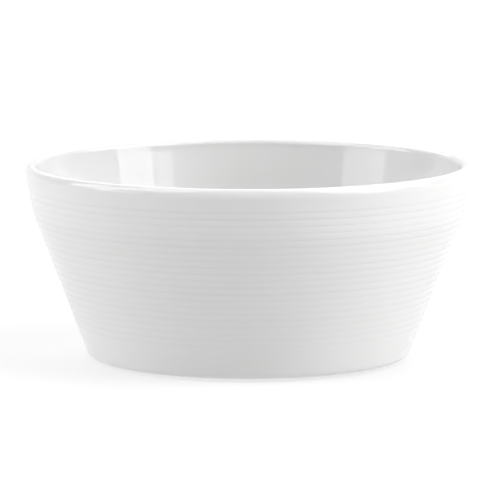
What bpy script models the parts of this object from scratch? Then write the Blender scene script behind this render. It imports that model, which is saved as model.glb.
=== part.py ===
"""Porcelain serving bowl: a fired body and the two fields of glaze on it.

Metres, +Z up. The origin is on the bowl's axis, in the plane it stands on. Every piece is a turned
shape, so each one is a profile (radius, height) swept round the Z axis.
"""

import math

import bpy

# Overall form, measured on the glazed surface
RIM_RADIUS = 0.1015
HEIGHT = 0.0890

# Rolled lip: a quarter ellipse on each side of its crest
LIP_OUTER_WIDTH = 0.0025
LIP_OUTER_DROP = 0.0038
LIP_INNER_WIDTH = 0.0025
LIP_INNER_DROP = 0.0028

# Outside: a steep collar, a knee, then the flared wall down to a rounded bottom corner
KNEE_RADIUS = 0.0983
KNEE_HEIGHT = 0.0670
KNEE_REACH = 0.0034
WALL_FLARE = 0.385
CORNER_ROUND = 0.0042
CORNER_HEIGHT = 0.0012

# Inside: the same form, a wall's thickness further in, with a coved floor
INNER_KNEE_RADIUS = 0.0923
INNER_KNEE_HEIGHT = 0.0650
INNER_KNEE_ROUND = 0.0250
INNER_FLARE = 0.404
FLOOR_HEIGHT = 0.0080
FLOOR_COVE = 0.0140

# Moulded grooves round the outside, from the collar down the wall
GROOVE_COUNT = 21
GROOVE_PITCH = 0.0031
GROOVE_DEPTH = 0.00025
FIRST_GROOVE_DROP = 0.0107

# Foot ring and the glazed recess inside it
FOOT_OUTER_RADIUS = 0.0625
FOOT_INNER_RADIUS = 0.0575
FOOT_CHAMFER = 0.0005
UNDERSIDE_HEIGHT = 0.0010
RECESS_HEIGHT = 0.0030
RECESS_COVE = 0.0016

# Glaze layers, and the clearance kept between touching solids
GLAZE = 0.0003
GAP = 0.0003

# Roundness of the solids
TURN_STEPS = 44
LIP_STEPS = 3
ARC_STEPS = 4


def arc_corner(before, corner, after, radius, steps):
    """Points of the arc of the given radius that rounds a corner between two straight runs."""
    x0, z0 = before[0] - corner[0], before[1] - corner[1]
    x1, z1 = after[0] - corner[0], after[1] - corner[1]
    length0 = math.hypot(x0, z0)
    length1 = math.hypot(x1, z1)
    x0, z0 = x0 / length0, z0 / length0
    x1, z1 = x1 / length1, z1 / length1
    half_angle = math.acos(x0 * x1 + z0 * z1) / 2
    reach = radius / math.tan(half_angle)
    to_centre = radius / math.sin(half_angle)
    middle = math.hypot(x0 + x1, z0 + z1)
    centre_x = corner[0] + (x0 + x1) / middle * to_centre
    centre_z = corner[1] + (z0 + z1) / middle * to_centre
    start = (corner[0] + x0 * reach - centre_x, corner[1] + z0 * reach - centre_z)
    sweep = math.pi - 2 * half_angle
    if x0 * z1 - z0 * x1 > 0:
        sweep = -sweep
    points = []
    for i in range(steps + 1):
        turn = sweep * i / steps
        cos_turn, sin_turn = math.cos(turn), math.sin(turn)
        x = centre_x + start[0] * cos_turn - start[1] * sin_turn
        z = centre_z + start[0] * sin_turn + start[1] * cos_turn
        points.append((x, z))
    return points


def quarter_ellipse(crest, width, drop, steps):
    """Points from the crest of the lip down to its side; a negative width goes inwards."""
    points = []
    for i in range(steps + 1):
        angle = math.pi / 2 * i / steps
        x = crest[0] + width * math.sin(angle)
        z = crest[1] - drop * (1 - math.cos(angle))
        points.append((x, z))
    return points


def wall_radius(height):
    """Outside radius of the plain wall at a height, before its grooves are cut.

    The knee between the wall and the collar is eased over KNEE_REACH on either side of it.
    """
    collar_flare = (RIM_RADIUS - KNEE_RADIUS) / (HEIGHT - LIP_OUTER_DROP - KNEE_HEIGHT)
    above = height - KNEE_HEIGHT
    flare = WALL_FLARE if above < 0 else collar_flare
    radius = KNEE_RADIUS + flare * above
    if abs(above) < KNEE_REACH:
        into_knee = KNEE_REACH - abs(above)
        radius -= (WALL_FLARE - collar_flare) * into_knee * into_knee / (4 * KNEE_REACH)
    return radius


def grooved_wall():
    """Outside wall from the top groove to the bottom one: valleys, with a crest between each pair."""
    points = []
    for i in range(2 * GROOVE_COUNT + 1):
        height = HEIGHT - FIRST_GROOVE_DROP - GROOVE_PITCH * (i - 1) / 2
        radius = wall_radius(height)
        if i % 2:
            radius -= GROOVE_DEPTH
        points.append((radius, height))
    return points


def skin_line(end_radius):
    """Glazed surface: inside floor, up the inside, over the lip, down the outside, in to end_radius."""
    crest = (RIM_RADIUS - LIP_OUTER_WIDTH, HEIGHT)
    inner_lip = quarter_ellipse(crest, -LIP_INNER_WIDTH, LIP_INNER_DROP, LIP_STEPS)
    outer_lip = quarter_ellipse(crest, LIP_OUTER_WIDTH, LIP_OUTER_DROP, LIP_STEPS)
    floor_centre = (0.0, FLOOR_HEIGHT)
    floor_reach = INNER_KNEE_RADIUS - INNER_FLARE * (INNER_KNEE_HEIGHT - FLOOR_HEIGHT)
    floor_corner = (floor_reach, FLOOR_HEIGHT)
    inner_knee = (INNER_KNEE_RADIUS, INNER_KNEE_HEIGHT)
    bottom_corner = (wall_radius(CORNER_HEIGHT), CORNER_HEIGHT)
    end = (end_radius, UNDERSIDE_HEIGHT)
    grooves = grooved_wall()

    line = [floor_centre]
    line += arc_corner(floor_centre, floor_corner, inner_knee, FLOOR_COVE, ARC_STEPS)
    line += arc_corner(floor_corner, inner_knee, inner_lip[-1], INNER_KNEE_ROUND, 2)
    line += reversed(inner_lip)
    line += outer_lip[1:]
    line += grooves
    line += arc_corner(grooves[-1], bottom_corner, end, CORNER_ROUND, ARC_STEPS)
    line.append(end)
    return line


def inset_line(line, distance):
    """The line moved into the material, square to itself, by an even distance."""
    normals = []
    for (x0, z0), (x1, z1) in zip(line, line[1:]):
        length = math.hypot(x1 - x0, z1 - z0)
        normals.append(((z1 - z0) / length, -(x1 - x0) / length))
    moved = []
    for i, (x, z) in enumerate(line):
        ax, az = normals[max(i - 1, 0)]
        bx, bz = normals[min(i, len(normals) - 1)]
        scale = distance / (1 + ax * bx + az * bz)
        moved.append((x + (ax + bx) * scale, z + (az + bz) * scale))
    return moved


def recess_line():
    """Glazed face of the recess: from the foot ring's inner side, up the cove and in to the axis."""
    side_foot = (FOOT_INNER_RADIUS, 0.0)
    ceiling_corner = (FOOT_INNER_RADIUS, RECESS_HEIGHT)
    centre = (0.0, RECESS_HEIGHT)
    line = arc_corner(side_foot, ceiling_corner, centre, RECESS_COVE, ARC_STEPS)
    line.append(centre)
    return line


def body_line():
    """Closed section of the fired body, from the floor's centre round to the recess's centre."""
    cover = GLAZE + GAP
    recess = inset_line(recess_line(), cover)
    inner_side = recess[0][0]
    line = inset_line(skin_line(FOOT_OUTER_RADIUS), cover)
    line += [
        (FOOT_OUTER_RADIUS, FOOT_CHAMFER),
        (FOOT_OUTER_RADIUS - FOOT_CHAMFER, 0.0),
        (inner_side + FOOT_CHAMFER, 0.0),
        (inner_side, FOOT_CHAMFER),
    ]
    line += recess
    return line


def make_material(name, colour, roughness, coat):
    material = bpy.data.materials.new(name)
    material.use_nodes = True
    shader = material.node_tree.nodes["Principled BSDF"]
    shader.inputs["Base Color"].default_value = (*colour, 1.0)
    shader.inputs["Roughness"].default_value = roughness
    shader.inputs["Metallic"].default_value = 0.0
    shader.inputs["Coat Weight"].default_value = coat
    return material


def turned_object(name, line, material):
    """Sweeps a profile round Z into a named object with its own material."""
    vertices = [(x, 0.0, z) for x, z in line]
    edges = [(i, i + 1) for i in range(len(line) - 1)]
    mesh = bpy.data.meshes.new(name)
    mesh.from_pydata(vertices, edges, [])
    mesh.materials.append(material)
    piece = bpy.data.objects.new(name, mesh)
    screw = piece.modifiers.new("Turn", "SCREW")
    screw.axis = "Z"
    screw.angle = 2 * math.pi
    screw.steps = TURN_STEPS
    screw.render_steps = TURN_STEPS
    screw.use_merge_vertices = True
    screw.merge_threshold = 0.00001
    screw.use_smooth_shade = True
    return piece


def add_layer(piece):
    """Gives an open glazed surface the thickness of the glaze, on the side of the body."""
    solidify = piece.modifiers.new("Glaze layer", "SOLIDIFY")
    solidify.thickness = GLAZE
    solidify.offset = -1.0
    solidify.use_even_offset = True


def main():
    for old in list(bpy.data.objects):
        bpy.data.objects.remove(old, do_unlink=True)

    collection = bpy.data.collections.new("serving_bowl")
    bpy.context.scene.collection.children.link(collection)

    bisque = make_material("bisque_porcelain", (0.86, 0.85, 0.82), 0.60, 0.0)
    clear_glaze = make_material("white_glaze", (0.88, 0.88, 0.88), 0.12, 0.5)
    underside = make_material("underside_glaze", (0.88, 0.88, 0.88), 0.15, 0.5)

    body = turned_object("porcelain_body", body_line(), bisque)
    coat = turned_object("glaze_coat", skin_line(FOOT_OUTER_RADIUS + GAP), clear_glaze)
    add_layer(coat)
    patch = turned_object("underside_glaze", recess_line(), underside)
    add_layer(patch)

    stand = bpy.data.objects.new("bowl_axis", None)
    stand.empty_display_size = 0.02
    collection.objects.link(stand)
    for piece in (body, coat, patch):
        collection.objects.link(piece)
        piece.parent = stand


main()
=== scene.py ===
"""Porcelain serving bowl: the fine surface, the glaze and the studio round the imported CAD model.

Metres, +Z up. Every piece is turned round the Z axis from a line of (radius, height) points.
"""

import math

import bpy
from mathutils import Matrix, Vector


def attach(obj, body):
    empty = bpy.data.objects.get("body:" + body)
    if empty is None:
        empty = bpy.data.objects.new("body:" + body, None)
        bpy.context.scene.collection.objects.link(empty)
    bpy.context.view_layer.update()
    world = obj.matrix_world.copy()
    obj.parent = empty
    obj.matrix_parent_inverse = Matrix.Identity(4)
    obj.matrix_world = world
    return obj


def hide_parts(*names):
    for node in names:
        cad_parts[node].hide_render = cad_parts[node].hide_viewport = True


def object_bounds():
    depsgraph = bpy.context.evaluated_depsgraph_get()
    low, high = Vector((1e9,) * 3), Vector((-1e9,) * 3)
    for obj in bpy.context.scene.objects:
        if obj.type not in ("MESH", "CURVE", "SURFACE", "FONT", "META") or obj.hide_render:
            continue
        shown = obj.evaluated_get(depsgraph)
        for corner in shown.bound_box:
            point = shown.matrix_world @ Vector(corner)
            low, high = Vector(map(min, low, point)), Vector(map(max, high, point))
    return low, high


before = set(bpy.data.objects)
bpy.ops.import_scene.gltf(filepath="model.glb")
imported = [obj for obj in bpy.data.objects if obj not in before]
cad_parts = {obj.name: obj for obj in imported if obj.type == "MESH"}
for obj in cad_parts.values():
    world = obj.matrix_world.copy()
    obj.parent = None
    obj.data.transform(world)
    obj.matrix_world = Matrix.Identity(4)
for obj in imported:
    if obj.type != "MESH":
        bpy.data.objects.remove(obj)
cad_low, cad_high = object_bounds()

# Overall form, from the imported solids
RIM_RADIUS = (cad_high.x - cad_low.x) / 2
HEIGHT = cad_high.z

# Rolled lip
LIP_OUTER_WIDTH = 0.0025
LIP_OUTER_DROP = 0.0038
LIP_INNER_WIDTH = 0.0025
LIP_INNER_DROP = 0.0028

# Outside wall
KNEE_RADIUS = 0.0983
KNEE_HEIGHT = 0.0670
KNEE_ROUND = 0.0300
WALL_FLARE = 0.385
CORNER_ROUND = 0.0042
CORNER_HEIGHT = 0.0012

# Inside wall and floor
INNER_KNEE_RADIUS = 0.0923
INNER_KNEE_HEIGHT = 0.0650
INNER_KNEE_ROUND = 0.0450
INNER_FLARE = 0.404
FLOOR_HEIGHT = 0.0080
FLOOR_COVE = 0.0140

# Grooves moulded round the outside; they grow shallower towards the bottom
GROOVE_COUNT = 21
GROOVE_PITCH = 0.0031
GROOVE_DEPTH = 0.00011
GROOVE_HALF_WIDTH = 0.00075
FIRST_GROOVE_DROP = 0.0107
FAINTEST_GROOVE = 0.45
GAIN_PER_GROOVE = 0.06

# Foot ring and recess
FOOT_OUTER_RADIUS = 0.0625
FOOT_INNER_RADIUS = 0.0575
FOOT_EDGE_ROUND = 0.0006
UNDERSIDE_HEIGHT = 0.0010
RECESS_HEIGHT = 0.0030
RECESS_COVE = 0.0016
RECESS_DOME = 0.0003
RECESS_ROWS = 90
TURNING_RING_HEIGHT = 0.00003
TURNING_RING_SPACING = 0.0007

# Glaze over clay: the clay's surface lies this far behind the glaze's, with a hairline between them
COVER = 0.0006
HAIRLINE = 0.00004

# How far the rim has drawn in during firing
OVAL_SHRINK = 0.00014
OVAL_DIRECTION = 0.7
LOBE_SHRINK = 0.00004
LOBE_DIRECTION = 1.1

TURN_STEPS = 256

# Base colours
GLAZE_WHITE = (0.68, 0.68, 0.68)
GLAZE_WARM = (0.665, 0.665, 0.662)
RECESS_WHITE = (0.67, 0.67, 0.67)
RECESS_WARM = (0.655, 0.655, 0.652)
# Painted shade in the grooves: the glaze colour is multiplied by this at a groove's bottom
GROOVE_SHADE = 0.95
CLAY_DARK = (0.70, 0.685, 0.655)
CLAY_LIGHT = (0.80, 0.79, 0.765)
CLAY_RUBBED = (0.60, 0.59, 0.575)

# Table top: it glows, more so far away, so that it stays white out to the horizon
TABLE_REACH = 12.0
TABLE_DROP = 0.0001
TABLE_WHITE = 0.25
TABLE_GLOW = 0.64
TABLE_FAR_GLOW = 1.05
GLOW_RISES_FROM = 1.2
GLOW_RISES_TO = 4.0

# Lights, all at one distance from the bowl's middle
BOX_DISTANCE = 3.4
BOX_SIZE = 1.82
BACK_BOX_SIZE = 3.60
STRIP_HEIGHT = 0.80

# Room round the table: its horizon, its back wall, and where the back wall fades in
ROOM_HORIZON = 1.05
ROOM_BACK = 0.92
HORIZON_FADE = (0.02, 0.04)
BACK_FADE = (0.45, 0.85)

# Camera; the angles are in degrees
CAMERA_DISTANCE = 2.0
CAMERA_ELEVATION = 6.64
CAMERA_TILT = 1.136
CAMERA_YAW = -0.0195
CAMERA_FOCAL = 316.9
CAMERA_SENSOR = 36.0


# --- profile geometry -------------------------------------------------------------------------


def arc_corner(before, corner, after, radius, steps):
    """Points of the arc of the given radius that rounds a corner between two straight runs."""
    towards_before = (Vector(before) - Vector(corner)).normalized()
    towards_after = (Vector(after) - Vector(corner)).normalized()
    half_angle = towards_before.angle(towards_after) / 2
    reach = radius / math.tan(half_angle)
    to_centre = (towards_before + towards_after).normalized() * (radius / math.sin(half_angle))
    centre = Vector(corner) + to_centre
    start = Vector(corner) + towards_before * reach - centre
    sweep = math.pi - 2 * half_angle
    if towards_before.x * towards_after.y - towards_before.y * towards_after.x > 0:
        sweep = -sweep
    points = []
    for i in range(steps + 1):
        spoke = Matrix.Rotation(sweep * i / steps, 2) @ start
        points.append(tuple(centre + spoke))
    return points


def quarter_ellipse(crest, width, drop, steps):
    """Points from the crest of the lip down to its side; a negative width goes inwards."""
    points = []
    for i in range(steps + 1):
        angle = math.pi / 2 * i / steps
        radius = crest[0] + width * math.sin(angle)
        height = crest[1] - drop * (1 - math.cos(angle))
        points.append((radius, height))
    return points


def straight_run(start, end, steps):
    """Evenly spaced points between two points, neither of them included."""
    points = []
    for i in range(1, steps):
        share = i / steps
        radius = start[0] + (end[0] - start[0]) * share
        height = start[1] + (end[1] - start[1]) * share
        points.append((radius, height))
    return points


def radius_on(line, height):
    """Radius of a falling outside line at a height."""
    for (upper_radius, upper), (lower_radius, lower) in zip(line, line[1:]):
        if lower <= height <= upper:
            return upper_radius + (lower_radius - upper_radius) * (upper - height) / (upper - lower)
    return line[-1][0]


def groove_heights():
    """Heights of the grooves' middles, from the top one down."""
    return [HEIGHT - FIRST_GROOVE_DROP - GROOVE_PITCH * i for i in range(GROOVE_COUNT)]


def groove_share(height):
    """How deep in a groove a height is: 0 on the lands, 1 at the bottom of a groove."""
    nearest = min(abs(height - centre) for centre in groove_heights())
    if nearest >= GROOVE_HALF_WIDTH:
        return 0.0
    return 0.5 + 0.5 * math.cos(math.pi * nearest / GROOVE_HALF_WIDTH)


def outside_line(coarseness):
    """The knee's arc, the bottom corner's arc, and the ends of the wall above and below them."""
    lip = (RIM_RADIUS, HEIGHT - LIP_OUTER_DROP)
    knee = (KNEE_RADIUS, KNEE_HEIGHT)
    corner = (KNEE_RADIUS - WALL_FLARE * (KNEE_HEIGHT - CORNER_HEIGHT), CORNER_HEIGHT)
    end = (FOOT_OUTER_RADIUS + HAIRLINE, UNDERSIDE_HEIGHT)
    knee_arc = arc_corner(lip, knee, corner, KNEE_ROUND, 8 // coarseness)
    corner_arc = arc_corner(knee, corner, end, CORNER_ROUND, 12 // coarseness)
    return knee_arc, corner_arc, lip, end


def wall_rows():
    """Heights to sample down the grooved wall: close together in a groove, one row on each land."""
    heights = []
    for centre in groove_heights():
        for share in (1.0, 0.62, 0.32, 0.0, -0.32, -0.62, -1.0):
            heights.append(centre + share * GROOVE_HALF_WIDTH)
        heights.append(centre - GROOVE_PITCH / 2)
    return heights


def skin_line(fine):
    """Glazed surface: inside floor, up the inside, over the lip, down the outside, in to the foot.

    The fine line has rows for the grooves and for smooth shading. The other one is for the surfaces
    hidden behind the glaze.
    """
    coarseness = 1 if fine else 2
    crest = (RIM_RADIUS - LIP_OUTER_WIDTH, HEIGHT)
    inner_lip = quarter_ellipse(crest, -LIP_INNER_WIDTH, LIP_INNER_DROP, 10 // coarseness)
    outer_lip = quarter_ellipse(crest, LIP_OUTER_WIDTH, LIP_OUTER_DROP, 10 // coarseness)
    rise = list(reversed(inner_lip)) + outer_lip[1:]
    floor_centre = (0.0, FLOOR_HEIGHT)
    floor_reach = INNER_KNEE_RADIUS - INNER_FLARE * (INNER_KNEE_HEIGHT - FLOOR_HEIGHT)
    floor_corner = (floor_reach, FLOOR_HEIGHT)
    inner_knee = (INNER_KNEE_RADIUS, INNER_KNEE_HEIGHT)
    cove = arc_corner(floor_centre, floor_corner, inner_knee, FLOOR_COVE, 14 // coarseness)
    inner_bend = arc_corner(floor_corner, inner_knee, inner_lip[-1], INNER_KNEE_ROUND, 8 // coarseness)
    knee_arc, corner_arc, lip, end = outside_line(coarseness)
    if not fine:
        return [floor_centre] + cove + inner_bend + rise + knee_arc + corner_arc + [end]

    plain_wall = [lip] + knee_arc + corner_arc
    grooved_wall = [(radius_on(plain_wall, height), height) for height in wall_rows()]
    line = [floor_centre]
    line += straight_run(floor_centre, cove[0], 24)
    line += cove
    line += straight_run(cove[-1], inner_bend[0], 16)
    line += inner_bend
    line += straight_run(inner_bend[-1], inner_lip[-1], 8)
    line += rise
    line += straight_run(lip, grooved_wall[0], 6)
    line += grooved_wall
    line += straight_run(grooved_wall[-1], corner_arc[0], 8)
    line += corner_arc
    line += straight_run(corner_arc[-1], end, 4)
    line.append(end)
    return line


def normals_of(line):
    """Unit normals of the line at its points, on the side of the open air."""
    sides = []
    for (radius, height), (next_radius, next_height) in zip(line, line[1:]):
        length = math.hypot(next_radius - radius, next_height - height)
        sides.append(Vector((-(next_height - height) / length, (next_radius - radius) / length)))
    normals = []
    for i in range(len(line)):
        before = sides[max(i - 1, 0)]
        after = sides[min(i, len(sides) - 1)]
        normals.append((before + after).normalized())
    return normals


def inset_line(line, distance):
    """The line moved into the material; an end on the axis stays on the axis."""
    moved = []
    for (radius, height), normal in zip(line, normals_of(line)):
        moved.append((radius - normal.x * distance, height - normal.y * distance))
    for end in (0, -1):
        if line[end][0] == 0.0:
            moved[end] = (0.0, moved[end][1])
    return moved


# --- turned meshes ----------------------------------------------------------------------------


def out_of_round(angle, height):
    """How far the wall has drawn in during firing: a slight oval that grows towards the rim."""
    oval = 0.5 + 0.5 * math.cos(2 * (angle - OVAL_DIRECTION))
    lobe = 0.5 + 0.5 * math.cos(3 * angle + LOBE_DIRECTION)
    return (OVAL_SHRINK * oval + LOBE_SHRINK * lobe) * max(height, 0.0) / HEIGHT


def groove_cut(angle, height):
    """Depth of the grooves at a place on the wall; each one varies a little round the bowl."""
    share = groove_share(height)
    if share == 0.0:
        return 0.0
    index = round((HEIGHT - FIRST_GROOVE_DROP - height) / GROOVE_PITCH)
    fading = min(1.0, FAINTEST_GROOVE + GAIN_PER_GROOVE * (GROOVE_COUNT - index))
    strength = (0.80 + 0.15 * math.sin(1.7 * index) + 0.05 * math.sin(2 * angle + index)) * fading
    return GROOVE_DEPTH * share * strength


def faces_between(upper, lower):
    """Faces that join two rings of vertex numbers, either of which may be one point on the axis."""
    faces = []
    for j in range(TURN_STEPS):
        k = (j + 1) % TURN_STEPS
        if len(upper) == 1:
            faces.append((upper[0], lower[j], lower[k]))
        elif len(lower) == 1:
            faces.append((upper[j], lower[0], upper[k]))
        else:
            faces.append((upper[j], lower[j], lower[k], upper[k]))
    return faces


def turned_mesh(name, line, grooved_rows=range(0)):
    """Sweeps a line that starts and ends on the axis into one closed mesh.

    The grooves are cut into the given rows of the line. Each vertex carries an attribute saying how
    deep in a groove it lies; the glaze darkens by it, a painted shade in the grooves.
    """
    vertices = []
    groove_shade = []
    rings = []
    for row, ((line_radius, line_height), normal) in enumerate(zip(line, normals_of(line))):
        if line_radius == 0.0:
            rings.append([len(vertices)])
            vertices.append((0.0, 0.0, line_height))
            groove_shade.append(0.0)
            continue
        ring = []
        for j in range(TURN_STEPS):
            angle = 2 * math.pi * j / TURN_STEPS
            cut = groove_cut(angle, line_height) if row in grooved_rows else 0.0
            radius = line_radius - normal.x * cut - out_of_round(angle, line_height)
            height = line_height - normal.y * cut
            ring.append(len(vertices))
            vertices.append((radius * math.cos(angle), radius * math.sin(angle), height))
            groove_shade.append(cut / GROOVE_DEPTH)
        rings.append(ring)
    faces = []
    for upper, lower in zip(rings, rings[1:]):
        faces += faces_between(upper, lower)
    mesh = bpy.data.meshes.new(name)
    mesh.from_pydata(vertices, [], faces)
    # Groove depth share for the glaze, which paints shade into the grooves
    shade_mask = mesh.attributes.new("groove_shade_share", "FLOAT", "POINT")
    shade_mask.data.foreach_set("value", groove_shade)
    mesh.shade_smooth()
    return mesh


def add_piece(name, mesh, material, node):
    """Shows the mesh on the root body in place of the CAD node."""
    mesh.materials.append(material)
    piece = bpy.data.objects.new(name, mesh)
    bpy.context.scene.collection.objects.link(piece)
    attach(piece, "root")
    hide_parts(node)


# --- materials --------------------------------------------------------------------------------


def range_node(tree, value, low, high, to_low, to_high):
    """Maps a value from one span to another and clamps it; to_high may be another node's output."""
    made = tree.nodes.new("ShaderNodeMapRange")
    made.inputs["From Min"].default_value = low
    made.inputs["From Max"].default_value = high
    made.inputs["To Min"].default_value = to_low
    if isinstance(to_high, float):
        made.inputs["To Max"].default_value = to_high
    else:
        tree.links.new(to_high, made.inputs["To Max"])
    tree.links.new(value, made.inputs["Value"])
    return made.outputs["Result"]


class Shader:
    """A material's node tree, built a node at a time."""

    def __init__(self, name):
        self.material = bpy.data.materials.new(name)
        self.material.use_nodes = True
        self.tree = self.material.node_tree
        self.surface = self.tree.nodes["Principled BSDF"]
        self.place = self.node("ShaderNodeTexCoord").outputs["Object"]

    def node(self, kind, **settings):
        made = self.tree.nodes.new(kind)
        for key, value in settings.items():
            setattr(made, key, value)
        return made

    def join(self, output, target):
        self.tree.links.new(output, target)

    def noise(self, scale, detail, roughness=0.5):
        made = self.node("ShaderNodeTexNoise")
        made.inputs["Scale"].default_value = scale
        made.inputs["Detail"].default_value = detail
        made.inputs["Roughness"].default_value = roughness
        self.join(self.place, made.inputs["Vector"])
        return made.outputs["Fac"]

    def range(self, value, low, high, to_low, to_high):
        return range_node(self.tree, value, low, high, to_low, to_high)

    def blend(self, share, first, second):
        """Mixes two colours, each a tuple or another node's output."""
        made = self.node("ShaderNodeMix", data_type="RGBA")
        self.join(share, made.inputs["Factor"])
        for socket, colour in (("A", first), ("B", second)):
            target = [s for s in made.inputs if s.name == socket and s.type == "RGBA"][0]
            if isinstance(colour, tuple):
                target.default_value = (*colour, 1.0)
            else:
                self.join(colour, target)
        return [s for s in made.outputs if s.type == "RGBA"][0]

    def bump(self, height, distance, strength, below=None):
        """A bump of the given height, laid over the bump below it."""
        made = self.node("ShaderNodeBump")
        made.inputs["Distance"].default_value = distance
        made.inputs["Strength"].default_value = strength
        self.join(height, made.inputs["Height"])
        if below is not None:
            self.join(below, made.inputs["Normal"])
        return made.outputs["Normal"]


def glaze_material(name, white, warm):
    """Clear glossy glaze over white clay: mottled a little, wavy, and darker in the grooves as painted
    shade.
    """
    s = Shader(name)
    mottle = s.range(s.noise(22.0, detail=3.0), 0.35, 0.65, 0.0, 1.0)
    colour = s.blend(mottle, white, warm)
    # Painted shade: the colour darkens towards the bottom of each groove
    shade_mask = s.node("ShaderNodeAttribute", attribute_name="groove_shade_share").outputs["Fac"]
    groove_shade = tuple(channel * GROOVE_SHADE for channel in white)
    colour = s.blend(shade_mask, colour, groove_shade)
    s.join(colour, s.surface.inputs["Base Color"])
    gloss = s.range(s.noise(60.0, detail=4.0), 0.3, 0.7, 0.05, 0.09)
    s.join(gloss, s.surface.inputs["Roughness"])
    waves = s.bump(s.noise(75.0, detail=1.0), distance=0.00006, strength=0.6)
    peel = s.bump(s.noise(420.0, detail=1.0), distance=0.000006, strength=0.5, below=waves)
    s.join(peel, s.surface.inputs["Normal"])
    s.surface.inputs["IOR"].default_value = 1.45
    return s.material


def bisque_material():
    """Bare fired porcelain on the foot ring: dry, finely grained, and rubbed a little grey by use."""
    s = Shader("bare_porcelain")
    grain = s.range(s.noise(1600.0, detail=2.0), 0.35, 0.65, 0.0, 1.0)
    colour = s.blend(grain, CLAY_DARK, CLAY_LIGHT)
    rubbed = s.range(s.noise(45.0, detail=5.0, roughness=0.7), 0.52, 0.70, 0.0, 0.5)
    colour = s.blend(rubbed, colour, CLAY_RUBBED)
    s.join(colour, s.surface.inputs["Base Color"])
    dryness = s.range(s.noise(300.0, detail=3.0), 0.3, 0.7, 0.55, 0.78)
    s.join(dryness, s.surface.inputs["Roughness"])
    tooth = s.bump(s.noise(2200.0, detail=3.0), distance=0.00005, strength=0.7)
    s.join(tooth, s.surface.inputs["Normal"])
    return s.material


# --- the bowl ---------------------------------------------------------------------------------


def make_coat():
    """The main glaze: one coat over the inside, the lip and the outside, ending at the foot ring."""
    face = skin_line(fine=True)
    back = inset_line(skin_line(fine=False), COVER - HAIRLINE)
    widest = next(row for row, (radius, height) in enumerate(face) if radius == RIM_RADIUS)
    grooved_rows = range(widest, len(face))
    mesh = turned_mesh("white_glaze_coat", face + list(reversed(back)), grooved_rows)
    material = glaze_material("white_glaze", GLAZE_WHITE, GLAZE_WARM)
    add_piece("white_glaze_coat", mesh, material, "glaze_coat")


def make_patch():
    """The glaze in the recess, slightly domed, with faint turning rings towards its middle."""
    side_foot = (FOOT_INNER_RADIUS, 0.0)
    corner = (FOOT_INNER_RADIUS, RECESS_HEIGHT)
    centre = (0.0, RECESS_HEIGHT)
    face = arc_corner(side_foot, corner, centre, RECESS_COVE, 8)
    back = inset_line(face + [centre], COVER - HAIRLINE)
    flat_reach = face[-1][0]
    for i in range(1, RECESS_ROWS + 1):
        radius = flat_reach * (1 - i / RECESS_ROWS)
        share = radius / flat_reach
        dome = RECESS_DOME * (1 - share * share)
        ring = TURNING_RING_HEIGHT * math.sin(radius / TURNING_RING_SPACING) * (1 - share)
        face.append((radius, RECESS_HEIGHT - dome + ring))
    mesh = turned_mesh("recess_glaze", list(reversed(back)) + face)
    material = glaze_material("recess_glaze", RECESS_WHITE, RECESS_WARM)
    add_piece("recess_glaze", mesh, material, "underside_glaze")


def make_body():
    """The fired clay, seen only as the foot ring where the glaze was wiped off."""
    skin = inset_line(skin_line(fine=False), COVER)
    inner_side = FOOT_INNER_RADIUS + COVER
    side_top = UNDERSIDE_HEIGHT + COVER
    ceiling = RECESS_HEIGHT + COVER
    outer_edge = (FOOT_OUTER_RADIUS, 0.0)
    inner_edge = (inner_side, 0.0)
    outer_foot = arc_corner((FOOT_OUTER_RADIUS, side_top), outer_edge, inner_edge, FOOT_EDGE_ROUND, 6)
    inner_foot = arc_corner(outer_edge, inner_edge, (inner_side, side_top), FOOT_EDGE_ROUND, 6)
    line = skin[:-1] + [(FOOT_OUTER_RADIUS, skin[-1][1])]
    line += outer_foot
    line += straight_run(outer_foot[-1], inner_foot[0], 6)
    line += inner_foot
    line += arc_corner(inner_edge, (inner_side, ceiling), (0.0, ceiling), RECESS_COVE + COVER, 8)
    line.append((0.0, ceiling))
    mesh = turned_mesh("fired_body", line)
    add_piece("fired_body", mesh, bisque_material(), "porcelain_body")


# --- studio -----------------------------------------------------------------------------------


def make_floor():
    """A plain white glowing table top, far wider than any view of the bowl."""
    mesh = bpy.data.meshes.new("table_top")
    corners = []
    for x, y in ((-1, -1), (1, -1), (1, 1), (-1, 1)):
        corners.append((x * TABLE_REACH, y * TABLE_REACH, -TABLE_DROP))
    mesh.from_pydata(corners, [], [(0, 1, 2, 3)])
    s = Shader("table_white")
    s.surface.inputs["Base Color"].default_value = (TABLE_WHITE, TABLE_WHITE, TABLE_WHITE, 1.0)
    s.surface.inputs["Roughness"].default_value = 0.8
    s.surface.inputs["Emission Color"].default_value = (1.0, 1.0, 1.0, 1.0)
    length = s.node("ShaderNodeVectorMath", operation="LENGTH")
    s.join(s.place, length.inputs[0])
    away = length.outputs["Value"]
    glow = s.range(away, GLOW_RISES_FROM, GLOW_RISES_TO, TABLE_GLOW, TABLE_FAR_GLOW)
    s.join(glow, s.surface.inputs["Emission Strength"])
    mesh.materials.append(s.material)
    floor = bpy.data.objects.new("table_top", mesh)
    bpy.context.scene.collection.objects.link(floor)


def soft_box(name, azimuth, elevation, brightness, width=BOX_SIZE, height=BOX_SIZE):
    """A rectangular softbox aimed at the bowl, hidden from the camera.

    The angles are in degrees. The azimuth is from the camera's side, positive to +X.
    """
    turn = math.radians(azimuth)
    rise = math.radians(elevation)
    aim = Vector((0.0, 0.0, HEIGHT / 2))
    away = Vector((math.sin(turn) * math.cos(rise), -math.cos(turn) * math.cos(rise), math.sin(rise)))
    data = bpy.data.lights.new(name, "AREA")
    data.shape = "RECTANGLE"
    data.size = width
    data.size_y = height
    data.energy = brightness * math.pi * width * height
    light = bpy.data.objects.new(name, data)
    light.location = aim + away * BOX_DISTANCE
    light.rotation_mode = "QUATERNION"
    light.rotation_quaternion = away.to_track_quat("Z", "Y")
    light.visible_camera = False
    bpy.context.scene.collection.objects.link(light)


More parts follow.
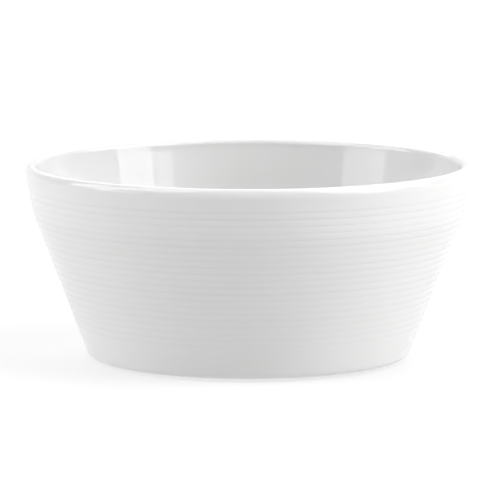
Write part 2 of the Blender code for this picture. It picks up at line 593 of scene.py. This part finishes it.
def make_lights():
    """Boxes at three heights on both sides and one behind, and low strips; the front is dark.

    The strips make the two window highlights inside the bowl, each on the far side from its strip.
    """
    soft_box("right_front_top", 60.0, 68.0, 2.4)
    soft_box("left_front_top", -60.0, 68.0, 1.0)
    soft_box("right_front_high", 60.0, 45.0, 2.6)
    soft_box("right_high", 90.0, 45.0, 1.5)
    soft_box("left_front_high", -60.0, 45.0, 3.6)
    soft_box("right_front", 60.0, 29.0, 3.0)
    soft_box("right", 90.0, 29.0, 4.0)
    soft_box("left", -90.0, 29.0, 3.7)
    soft_box("left_low", -90.0, 16.0, 0.6)
    soft_box("back", 180.0, 50.0, 1.1, BACK_BOX_SIZE, BACK_BOX_SIZE)
    soft_box("strip_right", 68.5, 12.0, 3.9, 1.32, STRIP_HEIGHT)
    soft_box("strip_left", -70.5, 11.5, 2.7, 1.63, STRIP_HEIGHT)


def make_world():
    """The room: white along the horizon, pale behind the bowl and dark behind the camera."""
    world = bpy.data.worlds.new("studio")
    world.use_nodes = True
    bpy.context.scene.world = world
    tree = world.node_tree
    direction = tree.nodes.new("ShaderNodeTexCoord").outputs["Generated"]
    split = tree.nodes.new("ShaderNodeSeparateXYZ")
    tree.links.new(direction, split.inputs["Vector"])
    room = range_node(tree, split.outputs["Y"], *BACK_FADE, 0.0, ROOM_BACK)
    room = range_node(tree, split.outputs["Z"], *HORIZON_FADE, ROOM_HORIZON, room)
    background = tree.nodes["Background"]
    tree.links.new(room, background.inputs["Strength"])
    background.inputs["Color"].default_value = (1.0, 1.0, 1.0, 1.0)


def make_camera():
    """Long lens, a little above the rim, two metres away."""
    data = bpy.data.cameras.new("camera")
    data.sensor_width = CAMERA_SENSOR
    data.lens = CAMERA_FOCAL
    camera = bpy.data.objects.new("camera", data)
    rise = math.radians(CAMERA_ELEVATION)
    back = CAMERA_DISTANCE * math.cos(rise)
    camera.location = (0.0, -back, HEIGHT + CAMERA_DISTANCE * math.sin(rise))
    pitch = math.radians(90.0 - CAMERA_ELEVATION - CAMERA_TILT)
    camera.rotation_euler = (pitch, 0.0, math.radians(CAMERA_YAW))
    bpy.context.scene.collection.objects.link(camera)
    bpy.context.scene.camera = camera


make_coat()
make_patch()
make_body()
make_floor()
make_world()
make_lights()
make_camera()

bpy.context.scene.view_settings.view_transform = "Standard"
